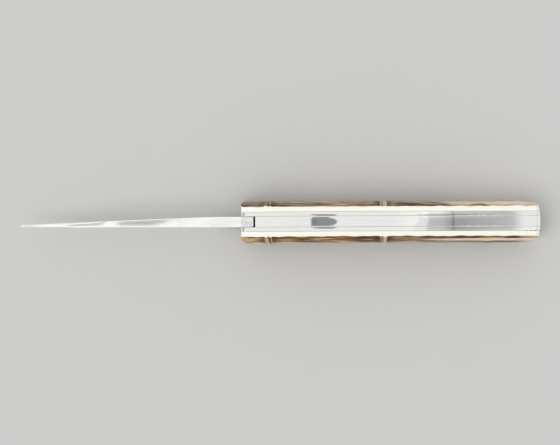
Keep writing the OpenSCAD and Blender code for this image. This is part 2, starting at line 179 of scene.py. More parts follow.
# Closed side outline of the handle as (u, z), clockwise from the front's upper corner
def handleLoop():
    length, ends = handle["length"], handle["endSpaces"]
    topR, frontR, buttR = (handle[k] for k in ("frontTopRadius", "frontBellyRadius", "buttBellyRadius"))
    loop = arc(topR, underBack(topR, topR), topR, 180, handle["cornerMeets"][0])[:-1]
    loop += backLine(handle["backRun"][0], int((length - 3) / handle["backSpacing"]) + 1)
    high = loop[-1][1]
    loop += [(length, mix(high, buttR, i / ends)) for i in range(1, ends)]
    loop += arc(length - buttR, buttR, buttR, 0, -90)
    reach = length - buttR - frontR
    belly = [length - buttR - reach * i / int(reach) for i in range(1, int(reach))]
    loop += [(u, bellyLine(u)) for u in belly]
    loop += arc(frontR, frontR, frontR, 270, 180)
    return loop + [(0.0, mix(loop[-1][1], loop[0][1], i / ends)) for i in range(1, ends)]


# Outward normal at each point of a clockwise loop
def loopNormals(loop):
    normals = []
    for i, here in enumerate(loop):
        before, after = loop[i - 1], loop[(i + 1) % len(loop)]
        first = Vector((here[0] - before[0], here[1] - before[1])).normalized()
        second = Vector((after[0] - here[0], after[1] - here[1])).normalized()
        normal = Vector((-first.y - second.y, first.x + second.x))
        normal.normalize()
        normals.append(normal / max(0.5, normal.dot(Vector((-first.y, first.x)))))
    return normals


# Faces that join rings of count points each, laid one after another, and close both ends
def ringFaces(rings, count):
    faces = []
    for j in range(rings - 1):
        for k in range(count):
            a, b = j * count + k, j * count + (k + 1) % count
            faces.append((a, b, b + count, a + count))
    return faces + [tuple(reversed(range(count))), tuple(range((rings - 1) * count, rings * count))]


def addObject(name, data):
    thing = bpy.data.objects.new(name, data)
    bpy.context.scene.collection.objects.link(thing)
    return thing


def meshObject(name, points, faces):
    mesh = bpy.data.meshes.new(name)
    mesh.from_pydata([(x * mm, y * mm, z * mm) for x, y, z in points], [], faces)
    work = bmesh.new()
    work.from_mesh(mesh)
    bmesh.ops.recalc_face_normals(work, faces=work.faces)
    work.to_mesh(mesh)
    work.free()
    return addObject(name, mesh)


def smoothShade(mesh, sharpAngle):
    mesh.shade_smooth()
    mesh.set_sharp_from_angle(angle=math.radians(sharpAngle))


def newPiece(name, points, faces, body, node, materials, sharpAngle=28):
    piece = meshObject(name, points, faces)
    smoothShade(piece.data, sharpAngle)
    for material in materials:
        piece.data.materials.append(material)
    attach(piece, body)
    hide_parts(node)
    return piece


# Positions across a plate as (y, inset): rounded arrises at both sides and narrow strips beside them
def acrossRows(yLow, yHigh, arris, strips):
    turns = [(arris * (1 - math.cos(a)), arris * (1 - math.sin(a))) for a in quarterTurn(4)]
    inner = arris * 2.2                         # the first straight strip starts clear of the arris
    rows = [(yLow + y, inset) for y, inset in turns]
    rows += [(mix(yLow + inner, yHigh - inner, i / strips), 0.0) for i in range(strips + 1)]
    return rows + [(yHigh - y, inset) for y, inset in reversed(turns)]


# A flat plate with the given side outline, and a back that is crowned about crownY
def plateMesh(loop, yLow, yHigh, plate, crownY):
    normals = loopNormals(loop)
    rows = acrossRows(yLow, yHigh, plate["arris"], plate["strips"])
    points = []
    for y, inset in rows:
        drop = (y - crownY) ** 2 / (2 * plate["crownRadius"])
        for (u, z), normal in zip(loop, normals):
            onBack = smooth((normal.y - 0.8) / 0.15) if z > handle["height"] / 2 else 0.0
            points.append(place(u - normal.x * inset, y, z - normal.y * inset - drop * onBack))
    return points, ringFaces(len(rows), len(loop))


liner = {
    "arris": 0.12,
    "strips": 10,
    "crownRadius": 15.0,
    "ridge": {"left": -2.03, "right": 2.24},
}


def makeLiner(side, sign):
    low, high = sorted((sign * linerLow.y, sign * linerHigh.y))
    points, faces = plateMesh(handleLoop(), low, high, liner, liner["ridge"][side])
    newPiece(side + "Liner", points, faces, "handle", side + "_liner", [metals["linerPolish"]])


pivot = {"in": 5.6, "below": 8.7, "tangFlat": 4.0, "seatGap": 0.03, "barAbove": 5.4244}
pivotZ = underBack(pivot["in"]) - pivot["below"]

spring = {
    "arris": 0.13,
    "strips": 14,
    "crownRadius": 156.0,
    "tip": springLow.x - handle["front"] + 0.05,
    "tipLength": 3.9,
    "slopeLength": 1.6,
    "tipUnder": pivotZ + pivot["tangFlat"] + pivot["seatGap"],
    "barUnder": pivotZ + pivot["barAbove"],
    "tailStart": 70.0,
    "tailSlope": 15.0,
    "tailDepth": 6.0,
    "underSpacing": 2.5,
}


# Side outline of the backspring: tip on the tang, straight bar and deeper tail
def springLoop():
    length, tip, low, bar = handle["length"], spring["tip"], spring["tipUnder"], spring["barUnder"]
    loop = [(tip, mix(low, topLine(tip), i / 6)) for i in range(1, 6)]
    loop += backLine(tip, int((length - tip) / handle["backSpacing"]))
    tailEnd, barFront = spring["tailStart"] + spring["tailSlope"], tip + spring["tipLength"]
    under = [(u, underBack(u) - spring["tailDepth"]) for u in (length, tailEnd)]
    under += [(spring["tailStart"], bar), (barFront + spring["slopeLength"], bar)]
    under += [(barFront, low), (tip, low)]
    for start, end in zip([loop[-1]] + under, under):
        count = max(1, int(math.dist(start, end) / spring["underSpacing"]))
        loop += [(mix(start[0], end[0], i / count), mix(start[1], end[1], i / count))
                 for i in range(1, count + 1)]
    return loop


def makeSpring():
    points, faces = plateMesh(springLoop(), springLow.y, springHigh.y, spring, 0.0)
    newPiece("backSpring", points, faces, "handle", "backspring", [metals["springPolish"]])


scale = {
    "halfWidth": 7.0,
    "cutEdge": 1.75,
    "skinHeight": 16.4,
    "buttDraw": 1.0,
    "buttDrawLength": 10.3,
    "cornerRadius": {"left": 2.3, "right": 1.3},
    "lobes": (                                  # place, height and radius of each ring's two lobes
        (8.25, 0.32, 1.1), (9.75, 0.32, 0.65), (46.55, 0.12, 0.65), (48.05, 0.12, 1.1),
    ),
    "swelling": {"left": (82.4, 0.12, 18.0), "right": (92.6, 0.12, 18.0)},
    "ringWander": 0.16,                         # how far a ring strays from a straight line
    "ringUneven": 0.25,
    "edgeRound": 0.12,
    "innerArris": 0.04,
    "waves": ((0.09, 0.07, 0.16), (0.035, 0.35, 0.5)),      # height, then rates along and round
    "edgeWave": (0.24, 0.28, 0.05),             # more of it where the skin meets the cut edge
    "edgeWaveRun": 1.6,
    "sink": 0.02,
    "rivets": (26.0, 53.0, 87.0),
    "rivetBelow": 9.8,
    "rivetRadius": 0.95,
    "collarRadius": 2.1,
    "dish": 0.03,                               # how much lower the skin lies round a metal head
    "dishRun": (0.1, 0.6),
    "cornerSlope": 0.7,
    "limitSoft": 0.12,
    "rows": 42,
    "rowCrowding": 0.8,                         # how much closer the rows lie at the skin's edges
    "step": 0.36,
    "ringStep": 0.13,
    "ringRun": 1.6,
    "endRun": 5.0,                              # the stations crowd together over this length at both ends
    "endSteps": 20,
}
cadHalfWidth = cadBox[1].y / mm
skinRadius = arcRadius(scale["skinHeight"], scale["halfWidth"] - linerHigh.y - scale["cutEdge"])


# Distance along the back and depth below it, of a point in the side view
def alongAndDepth(u, z):
    du, dz = u - handle["backApex"], z - backCentreZ
    radial = math.hypot(du, dz)
    return handle["backApex"] + handle["backRadius"] * du / radial, handle["backRadius"] - radial


# Height of the rings and of the rear swelling above the skin, and how far up a ring it is
def ringSwell(side, along, depth):
    swell, share = 0.0, 0.0
    for index, (u, height, r) in enumerate(scale["lobes"] + (scale["swelling"][side],)):
        seed = 11.0 * index + (3.0 if side == "left" else 47.0)
        gap = along - u - scale["ringWander"] * noise.noise(Vector((depth * 0.35, seed, 0.5)))
        uneven = 0.9 + scale["ringUneven"] * noise.noise(Vector((depth * 0.5, seed, 0.0)))
        lift = height * uneven - gap * gap / (2 * r)
        if lift > -1:
            rise = min(height, (lift + math.sqrt(lift * lift + 0.0025)) / 2)
            swell = max(swell, rise)
            share = max(share, rise / height if index < len(scale["lobes"]) else 0.0)
    return swell, share


# How close a point is to a metal head: 1 on it, 0 away from it
def headNearness(u, z):
    heads = [(pivot["in"], pivotZ, scale["collarRadius"])]
    heads += [(r, underBack(r) - scale["rivetBelow"], scale["rivetRadius"]) for r in scale["rivets"]]
    gap = min(math.hypot(u - headU, z - headZ) - r for headU, headZ, r in heads)
    clear, run = scale["dishRun"]
    return 1 - smooth((gap - clear) / run)


# Distance of the skin from the middle plane
def skinReach(side, u, z):
    along, depth = alongAndDepth(u, z)
    seed = 5.0 if side == "left" else 29.0
    near = headNearness(u, z)
    wave = -scale["sink"]
    for i, (height, alongRate, roundRate) in enumerate(scale["waves"]):
        wave += height * noise.noise(Vector((along * alongRate, depth * roundRate, seed + 2 * i)))
    edge = 1 - smooth(min(depth, scale["skinHeight"] - depth) / scale["edgeWaveRun"])
    height, alongRate, roundRate = scale["edgeWave"]
    wave += height * edge * noise.noise(Vector((along * alongRate, seed + 9, depth * roundRate)))
    reach = scale["halfWidth"] - skinRadius + circleHeight(skinRadius, depth - scale["skinHeight"] / 2)
    reach += wave * (1 - near) - scale["dish"] * near
    reach += ringSwell(side, along, depth)[0]
    corner = scale["cornerRadius"][side]
    if u < corner:
        limit = scale["halfWidth"] - corner + circleHeight(corner, corner - u)
    else:
        limit = scale["halfWidth"] + (u - corner) * scale["cornerSlope"]
    drawn = scale["halfWidth"] - scale["buttDraw"]
    slope = (cadHalfWidth + 0.1 - drawn) / scale["buttDrawLength"]
    limit = min(limit, drawn + slope * (handle["length"] - u))
    return min(softMin(reach, limit, scale["limitSoft"]), cadHalfWidth)


# Stations along the handle, close together at its ends and at the rings
def scaleStations():
    e, run, count = scale["edgeRound"], scale["endRun"], scale["endSteps"]
    ends = [e + run * (i / count) ** 2.2 for i in range(count)]
    butt = [handle["length"] - end for end in reversed(ends)]
    stations, u = ends, e + run
    while u < butt[0] - 0.1:
        stations.append(u)
        close = min(abs(u - lobe[0]) for lobe in scale["lobes"])
        u += scale["ringStep"] if close < scale["ringRun"] else scale["step"]
    return stations + [b for b in butt if b > stations[-1] + 0.004]


def makeScale(side, sign, skin, cut):
    e, arris, rows = scale["edgeRound"], scale["innerArris"], scale["rows"]
    shares = [j / rows for j in range(rows + 1)]
    crowding, turn = scale["rowCrowding"], 2 * math.pi
    rowShare = [share - crowding * math.sin(turn * share) / turn for share in shares]
    points, faces, materialOf = [], [], []
    values = {"along": [], "around": [], "fromSkin": [], "ring": [], "endGrain": []}

    def addPoint(u, y, z, fromSkin, endGrain):
        along, depth = alongAndDepth(u, z)
        points.append(place(u, sign * y, z))
        measures = (along, depth, fromSkin, ringSwell(side, along, depth)[1], endGrain)
        for column, value in zip(values.values(), measures):
            column.append(value)

    grid = []                                   # the skin, column by column: (u, z, reach, index)
    for u in scaleStations():
        high, low = topLine(u, e), bellyLine(u, e)
        grid.append([])
        for share in rowShare:
            z = mix(high, low, share)
            reach = skinReach(side, u, z)
            grid[-1].append((u, z, reach, len(points)))
            addPoint(u, reach, z, 0.0, 0.0)
    for left, right in zip(grid, grid[1:]):
        for j in range(rows):
            faces.append((left[j][3], right[j][3], right[j + 1][3], left[j + 1][3]))
            materialOf.append(0)

    rim = [column[0] for column in grid] + grid[-1][1:-1]
    rim += [column[-1] for column in reversed(grid)] + grid[0][-2:0:-1]
    normals = loopNormals([p[:2] for p in rim])
    inner = linerHigh.y
    cutLayers = [("inner", share) for share in (0.0, 0.5, 1.0)]
    cutLayers += [("flat", share) for share in (0.25, 0.5, 0.75)]
    turnLayers = [("turn", angle) for angle in quarterTurn(4)[:-1]]
    layers = []
    for kind, amount in cutLayers + turnLayers:
        layers.append([])
        for (u, z, reach, _), normal in zip(rim, normals):
            flatY = reach - e
            cornered = min(flatY, scale["halfWidth"] - scale["cornerRadius"][side])
            flatY = mix(flatY, cornered, max(0.0, -normal.x) ** 2)
            if kind == "inner":
                y, out = inner + arris * amount, e - arris * (1 - amount) ** 2
            elif kind == "flat":
                y, out = mix(inner + arris, flatY, amount), e
            else:
                y, out = mix(flatY, reach, math.sin(amount)), e * math.cos(amount)
            layers[-1].append(len(points))
            addPoint(u + normal.x * out, y, z + normal.y * out, max(0.0, flatY - y), abs(normal.x) ** 2)
    layers.append([p[3] for p in rim])
    for count, (lower, upper) in enumerate(zip(layers, layers[1:])):
        for k in range(len(rim)):
            after = (k + 1) % len(rim)
            faces.append((lower[k], lower[after], upper[after], upper[k]))
            materialOf.append(1 if count < len(cutLayers) else 0)
    faces.append(tuple(layers[0]))
    materialOf.append(1)
    piece = newPiece(side + "Scale", points, faces, "handle", side + "_scale", [skin, cut], 40)
    piece.data.polygons.foreach_set("material_index", materialOf)
    for name, column in values.items():
        piece.data.attributes.new(name, "FLOAT", "POINT").data.foreach_set("value", column)


blade = {
    "reach": -bladeLow.x + handle["front"],
    "half": bladeHigh.y,
    "frontZ": underBack(0),
    "frontSlope": 42 / 518.30,
    "pointDrop": 1.6,
    "tipHeight": 0.4,
    "sweepStart": 38.0,
    "edgeZ": 1.60,
    "leftTaper": (0.24, 8.0, 38.0),             # how far the left face leans in, from and to where
    "leftPointTaper": (0.25, 54.0, 63.0),
    "rightTaper": 2.25,
    "rightPower": 1.15,
    "taperStart": 8.0,
    "plungeStart": 4.0,
    "plungeLength": 4.0,
    "plungeLean": 0.06,
    "hollow": 0.12,
    "bevelHeight": 0.7,
    "bevelThick": 0.5,
    "crown": 0.1,
    "tangCrown": 0.05,
    "crownRise": 0.03,
    "falseEdge": 0.45,
    "falseStart": 44.0,
    "falseGrow": 8.0,
    "keenHalf": 0.025,
    "kickZ": 1.05,
    "kickFrom": 1.9,
    "kickTo": -0.4,
    "kickRise": 3.0,                            # the kick has run into the edge this far out
    "shoulder": 4.29,
    "wornCorner": 0.5,                          # the left corner of the tang's end is worn round
    "wornFrom": 3.4,
    "rearRadius": 1.2,
    "choilRadius": 0.9,
    "choilOut": 7.2,
    "boreRadius": 2.43,
    "nickOut": 24.0,
    "nickLength": 15.0,
    "nickDepth": 0.5,
    "nickBelow": 1.9,
    "nickHeight": 1.5,
    "flankRows": 12,
    "rootStep": 0.2,                            # the stations are closer together over this run
    "rootRun": 9,
    "step": 0.45,
    "tipRun": 1.5,
    "sharpAngle": 24,
}
tipZ = blade["frontZ"] - blade["frontSlope"] * blade["reach"] - blade["pointDrop"]


# s is the distance in front of the handle; on the tang it is negative
def spineLine(s):
    if s < 0:
        return underBack(-s) if s > -blade["shoulder"] else pivotZ + pivot["tangFlat"]
    return blade["frontZ"] - blade["frontSlope"] * s - blade["pointDrop"] * (s / blade["reach"]) ** 4


def lowLine(s):
    tangLow = pivotZ - pivot["tangFlat"]
    tangFront = pivot["tangFlat"] - pivot["in"]
    kickZ, kickFrom, kickTo = blade["kickZ"], blade["kickFrom"], blade["kickTo"]
    if s > blade["kickRise"]:
        share = max(0.0, s - blade["sweepStart"]) / (blade["reach"] - blade["sweepStart"])
        return mix(blade["edgeZ"], tipZ - blade["tipHeight"], share ** 2.2)
    if s > kickFrom:
        return mix(kickZ, blade["edgeZ"], (s - kickFrom) / (blade["kickRise"] - kickFrom))
    if s > kickTo:
        return kickZ
    return mix(kickZ, tangLow, min(1.0, (kickTo - s) / (kickTo - tangFront)))


# Stations along the blade as (s, how much its rear corners are cut)
def bladeStations():
    rear = pivot["in"] + pivot["tangFlat"]
    r, reach, shoulder = blade["rearRadius"], blade["reach"], -blade["shoulder"]
    stations = [(-rear + r * (1 - math.cos(a)), r * (1 - math.sin(a))) for a in quarterTurn(8)]
    stations += [(mix(-rear + r, shoulder - 0.001, i / 6), 0.0) for i in range(1, 7)]
    s = shoulder
    while s < reach - blade["tipRun"]:
        stations.append((s, 0.0))
        s += blade["rootStep"] if s < blade["rootRun"] else blade["step"]
    return stations + [(mix(s, reach, (i / 8) ** 0.7), 0.0) for i in range(9)]


def leftFace(s):
    tapers = (blade["leftTaper"], blade["leftPointTaper"])
    lean = sum(amount * smooth((s - start) / (end - start)) for amount, start, end in tapers)
    return lean - blade["half"]


def rightFace(s):
    share = max(0.0, s - blade["taperStart"]) / (blade["reach"] - blade["taperStart"])
    return blade["half"] - blade["rightTaper"] * share ** blade["rightPower"]


# One section of the blade as (y, z), round from the left end of the spine
def bladeSection(s, cornerCut):
    top, low = spineLine(s) - cornerCut, lowLine(s) + cornerCut
    left, right = leftFace(s), rightFace(s)
    half, mid, tall = (right - left) / 2, (left + right) / 2, top - low
    mostDrop = tall * 0.3
    crown = min(blade["crown"], half * 0.4) if s > -0.5 else blade["tangCrown"]
    falseShare = smooth((s - blade["falseStart"]) / blade["falseGrow"])
    rightCut = min(crown + blade["falseEdge"] * falseShare, half * 0.9)
    bevelUp = min(blade["bevelHeight"], mostDrop)
    bevelTop = low + bevelUp
    rise = blade["crownRise"] * smooth((s + 2) / 6) * min(1.0, half / 1.2)
    turns, section = quarterTurn(4), []
    for turn in turns[:-1]:
        drop = min(crown, mostDrop) * (1 - math.sin(turn))
        section.append((left + crown * (1 - math.cos(turn)), top - rise - drop))
    width = right - left - crown - rightCut
    for share in (i / 8 for i in range(9)):
        section.append((left + crown + width * share, top - rise * (2 * share - 1) ** 2))
    flat = falseShare * 0.8                     # the false edge is a chamfer more than a round
    for i in range(1, 5):
        drop = min(rightCut, mostDrop) * mix(1 - math.cos(turns[i]), i / 4, flat)
        section.append((right - rightCut * (1 - mix(math.sin(turns[i]), i / 4, flat)), top - rise - drop))

    def flankHalf(z):
        plunge = blade["plungeStart"] + blade["plungeLean"] * (top - z)
        ground = smooth((s - plunge) / blade["plungeLength"])
        shoulder = min(blade["bevelThick"] / 2, half * 0.6)
        upper = max(0.0, z - bevelTop) / max(0.01, tall - bevelUp)
        wedge = mix(shoulder, half, upper) - min(blade["hollow"], half * 0.2) * 4 * upper * (1 - upper)
        if z < bevelTop:
            wedge = mix(blade["keenHalf"], shoulder, (z - low) / max(0.01, bevelUp))
        return mix(half, wedge, ground)

    count = blade["flankRows"]
    edgeRows = [low + bevelUp * 0.5, low + 0.03]
    highRight, highLeft = section[-1][1], section[0][1]
    rightRows = [mix(highRight, bevelTop, i / count) for i in range(1, count + 1)] + edgeRows
    leftRows = [mix(highLeft, bevelTop, i / count) for i in range(1, count + 1)] + edgeRows
    section += [(mid + flankHalf(z), z) for z in rightRows]
    bottom = flankHalf(low) * 0.98
    section += [(mid + bottom, low), (mid - bottom, low)]
    section += [(mid - flankHalf(z), z) for z in reversed(leftRows)]
    worn = max(0.0, (-s - blade["wornFrom"]) / (blade["shoulder"] - blade["wornFrom"]))
    worn = blade["wornCorner"] * worn ** 2
    shoulderZ = pivotZ + pivot["tangFlat"] + 0.3
    return [(max(y, left + worn) if z > shoulderZ else y, z) for y, z in section]


def barCutter(name, u, z, r, reach=4.0, sides=72):
    rim = arc(handle["front"] + u, z, r, 0, 360, sides)[:-1]
    points = [(x, y, z) for y in (-reach, reach) for x, z in rim]
    return meshObject(name, points, ringFaces(2, sides))


# The rim of a thin grinding wheel, as far as it dips into the left face
def nickCutter():
    depth, s = blade["nickDepth"], blade["nickOut"]
    wheelR = arcRadius(blade["nickLength"], depth)
    centre = Vector((handle["front"] - s, leftFace(s) + depth - wheelR, spineLine(s) - blade["nickBelow"]))
    tilt = Matrix.Rotation(-math.atan(blade["frontSlope"]), 3, "Y")
    rim = [(wheelR - 3 * depth, 0.0), (wheelR, 0.0), (wheelR - 3 * depth, -3 * blade["nickHeight"])]
    steps, halfTurn = 90, 14
    points = []
    for i in range(steps + 1):
        angle = math.radians(mix(-halfTurn, halfTurn, i / steps))
        for r, z in rim:
            points.append(tuple(centre + tilt @ Vector((r * math.sin(angle), r * math.cos(angle), z))))
    return meshObject("nickCutter", points, ringFaces(steps + 1, 3))


def carve(piece, cutters):
    for cutter in cutters:
        change = piece.modifiers.new("cut", "BOOLEAN")
        change.operation = "DIFFERENCE"
        change.solver = "EXACT"
        change.object = cutter
    shown = piece.evaluated_get(bpy.context.evaluated_depsgraph_get())
    carved = bpy.data.meshes.new_from_object(shown)
    piece.modifiers.clear()
    piece.data = carved
    for cutter in cutters:
        bpy.data.objects.remove(cutter)
    smoothShade(carved, blade["sharpAngle"])


def makeBlade():
    points, stations = [], bladeStations()
    for s, cornerCut in stations:
        section = bladeSection(s, cornerCut)
        points += [(handle["front"] - s, y, z) for y, z in section]
    faces = ringFaces(len(stations), len(section))
    piece = newPiece("bladeSteel", points, faces, "blade", "blade", [], blade["sharpAngle"])
    carve(piece, [
        barCutter("boreCutter", pivot["in"], pivotZ, blade["boreRadius"]),
        barCutter("choilCutter", -blade["choilOut"], blade["edgeZ"], blade["choilRadius"]),
        nickCutter(),
    ])
    piece.data.materials.clear()
    piece.data.materials.append(metals["bladePolish"])


# Materials. Most of the helpers work in the node tree of the sockets that they are given.
def newMaterial(name):
    material = bpy.data.materials.new(name)
    material.use_nodes = True
    tree = material.node_tree
    return material, tree, tree.nodes["Principled BSDF"]


# Joins a socket to another one, or gives it a value, where a plain number stands for a grey
def feed(value, socket):
    if isinstance(value, bpy.types.NodeSocket):
        socket.id_data.links.new(value, socket)
    elif socket.type == "RGBA":
        socket.default_value = (*(value if isinstance(value, tuple) else (value,) * 3), 1.0)
    else:
        socket.default_value = value


def setInputs(node, inputs):
    for key, value in inputs.items():
        feed(value, node.inputs[key])


def treeOf(*values):
    return next(value.id_data for value in values if isinstance(value, bpy.types.NodeSocket))


def addNode(tree, kind, inputs=None, **settings):
    node = tree.nodes.new(kind)
    for key, value in settings.items():
        setattr(node, key, value)
    setInputs(node, inputs or {})
    return node


def addMath(operation, first, second=0.0):
    inputs = {0: first, 1: second}
    return addNode(treeOf(first, second), "ShaderNodeMath", inputs, operation=operation).outputs[0]


def times(first, *others):
    for other in others:
        first = addMath("MULTIPLY", first, other)
    return first


def plus(first, *others):
    for other in others:
        first = addMath("ADD", first, other)
    return first


def minus(first, second):
    return addMath("SUBTRACT", first, second)


def larger(first, second):
    return addMath("MAXIMUM", first, second)


# How far two values are from each other
def apart(first, second):
    return addMath("ABSOLUTE", minus(first, second))


# Turns softly from low to high while the value goes from start to end
def fade(value, start, end, low=0.0, high=1.0):
    inputs = {"Value": value, "From Min": start, "From Max": end, "To Min": low, "To Max": high}
    node = addNode(treeOf(value), "ShaderNodeMapRange", inputs, interpolation_type="SMOOTHSTEP")
    return node.outputs["Result"]


# 1 between full and ease, and 0 outside start and end
def within(value, start, full, ease, end):
    return times(fade(value, start, full), fade(value, ease, end, 1.0, 0.0))


# From a screen colour of 0 to 255, as it is seen, to the light that a node takes
def seen(red, green, blue):
    parts = [c / 255 for c in (red, green, blue)]
    return tuple(c / 12.92 if c <= 0.04045 else ((c + 0.055) / 1.055) ** 2.4 for c in parts)


def addMix(amount, first, second, blend="MIX"):
    inputs = {0: amount, 6: first, 7: second}
    tree = treeOf(amount, first, second)
    return addNode(tree, "ShaderNodeMix", inputs, data_type="RGBA", blend_type=blend).outputs[2]


def addNoise(vector, size=1.0, detail=3.0, roughness=0.55):
    inputs = {"Vector": vector, "Scale": size, "Detail": detail, "Roughness": roughness}
    return addNode(treeOf(vector), "ShaderNodeTexNoise", inputs).outputs["Fac"]


def stretch(vector, size, turn=(0.0, 0.0, 0.0)):
    inputs = {"Vector": vector, "Scale": size, "Rotation": turn}
    return addNode(treeOf(vector), "ShaderNodeMapping", inputs).outputs[0]


def addRamp(factor, stops):
    ramp = addNode(treeOf(factor), "ShaderNodeValToRGB", {"Fac": factor})
    marks = ramp.color_ramp.elements            # there is one at 0 and one at 1 already
    for position, tone in stops:
        mark = marks[-int(position)] if position in (0, 1) else marks.new(position)
        mark.color = (*tone, 1.0)
    return ramp.outputs["Color"]


def addBump(shader, height, strength, distance):
    inputs = {"Height": height, "Strength": strength, "Distance": distance}
    bump = addNode(treeOf(height), "ShaderNodeBump", inputs)
    feed(bump.outputs["Normal"], shader.inputs["Normal"])


def objectPlace(tree):
    return addNode(tree, "ShaderNodeTexCoord").outputs["Object"]


def splitAxes(vector):
    return addNode(treeOf(vector), "ShaderNodeSeparateXYZ", {"Vector": vector}).outputs


def attributes(tree, *names):
    return [addNode(tree, "ShaderNodeAttribute", attribute_name=name).outputs["Fac"] for name in names]


# A node group with number sockets: inputs with their first values, and outputs
def newGroup(name, inputs, outputs):
    group = bpy.data.node_groups.new(name, "ShaderNodeTree")
    for label, value in inputs.items():
        socket = group.interface.new_socket(name=label, in_out="INPUT", socket_type="NodeSocketFloat")
        socket.default_value = value
    for label in outputs:
        group.interface.new_socket(name=label, in_out="OUTPUT", socket_type="NodeSocketFloat")
    return group, addNode(group, "NodeGroupInput").outputs, addNode(group, "NodeGroupOutput").inputs


# Polish lines along the knife, faint smudges and fine scratches, for all steel
def buildPolish():
    sizes = {"Line Spacing": 0.25, "Line Length": 12.0, "Smudge Size": 6.0}
    group, given, result = newGroup("polishLines", sizes, ("Lines", "Smudge", "Scratch"))
    spot = objectPlace(group)
    across, along, smudgeScale = (addMath("DIVIDE", 1 / mm, given[label]) for label in sizes)
    size = addNode(group, "ShaderNodeCombineXYZ", {"X": along, "Y": across, "Z": across}).outputs[0]
    lined = addNode(group, "ShaderNodeVectorMath", {0: spot, 1: size}, operation="MULTIPLY").outputs[0]
    feed(addNoise(lined, 1.0, 3.0, 0.6), result["Lines"])
    smudged = addNode(group, "ShaderNodeVectorMath", {0: spot, "Scale": smudgeScale}, operation="SCALE")
    feed(addNoise(smudged.outputs[0], 1.0, 4.0, 0.5), result["Smudge"])
    scratched = stretch(spot, (60.0, 2600.0, 2600.0), (0.3, 0.1, 0.55))
    feed(fade(addNoise(scratched, 1.0, 1.0, 0.4), 0.70, 0.78), result["Scratch"])
    return group


seams = {                                       # places are distances behind the front end
    "width": 0.05,
    "rubbed": (68.0, 73.0, 83.0, 90.0),         # painted highlight: the inner seam is bright here and its dark line is left out
    "reflectedSliver": (23.5, 26.5, 31.0, 32.6),        # painted reflection: a dark sliver beside the inner seam here
    "gapTop": 15.0,
    "dashes": (93.0, 96.5),                     # a dashed dark line runs to the butt
    "dashStart": 96.45,
    "dashSpacing": 1.5,
    "tailLine": 98.85,
    "black": (0.012, 0.011, 0.010),
    "rubbedTone": (1.0, 1.0, 0.99),
}


# Grime where layers of the handle meet, by the distance from the middle plane, with a painted reflection of
# a dark sliver beside the inner seam and a painted highlight where the inner seam is bright, and painted
# black shade deep in the gap between the tang and the tip of the spring
def buildSeamGrimeAndPaintedLight():
    group, given, result = newGroup("seamGrimeAndPaintedLight", {
        "Inner Seam": linerLow.y, "Outer Seam": linerHigh.y, "Width": seams["width"],
        "Gap Start": blade["shoulder"] - 0.02, "Gap End": spring["tip"] + 0.03, "Gap Top": seams["gapTop"],
    }, ("Mask", "Gap", "Butt", "Painted Glint"))
    spot = objectPlace(group)
    inMm = addNode(group, "ShaderNodeVectorMath", {0: spot, "Scale": 1 / mm}, operation="SCALE")
    parts = splitAxes(inMm.outputs[0])
    across = addMath("ABSOLUTE", parts["Y"])
    behind = minus(parts["X"], handle["front"])
    gaps = [apart(across, given[label]) for label in ("Inner Seam", "Outer Seam")]
    inner, outer = (fade(addMath("DIVIDE", gap, given["Width"]), 0.35, 1.0, 1.0, 0.0) for gap in gaps)
    # painted highlight: the inner seam turns bright over this span, in patches
    glintSpan = within(behind, *seams["rubbed"])
    patchy = fade(addNoise(stretch(spot, (420.0, 90.0, 0.0)), 1.0, 2.0), 0.4, 0.62, 0.15, 0.75)
    feed(times(fade(gaps[0], 0.10, 0.20, 1.0, 0.0), glintSpan, patchy), result["Painted Glint"])
    outward = minus(across, given["Inner Seam"])
    # painted reflection: a dark sliver beside the inner seam, joined into the seam mask
    stain = times(within(behind, *seams["reflectedSliver"]), fade(outward, 0.0, 0.08),
                  fade(outward, 0.28, 0.55, 0.6, 0.0))
    mask = larger(larger(times(inner, minus(1.0, glintSpan)), stain), outer)
    uneven = fade(addNoise(stretch(spot, (130.0, 60.0, 60.0)), 1.0, 2.0), 0.35, 0.62, 0.45, 1.0)
    feed(times(mask, uneven), result["Mask"])

    # painted shade: black deep in the gap between the tang and the spring's tip
    inGap = times(addMath("GREATER_THAN", behind, given["Gap Start"]),
                  addMath("LESS_THAN", behind, given["Gap End"]))
    feed(times(inGap, fade(minus(given["Gap Top"], parts["Z"]), 0.0, 0.06)), result["Gap"])

    turn = times(minus(behind, seams["dashStart"]), 2 * math.pi / seams["dashSpacing"])
    dashes = fade(addMath("SINE", turn), -0.2, 0.4, 0.0, 0.9)
    nearLeftSeam = fade(apart(parts["Y"], -linerHigh.y), 0.08, 0.17, 1.0, 0.0)
    line = fade(apart(behind, seams["tailLine"]), 0.05, 0.16, 0.22, 0.0)
    feed(larger(times(fade(behind, *seams["dashes"]), nearLeftSeam, dashes), line), result["Butt"])
    return group


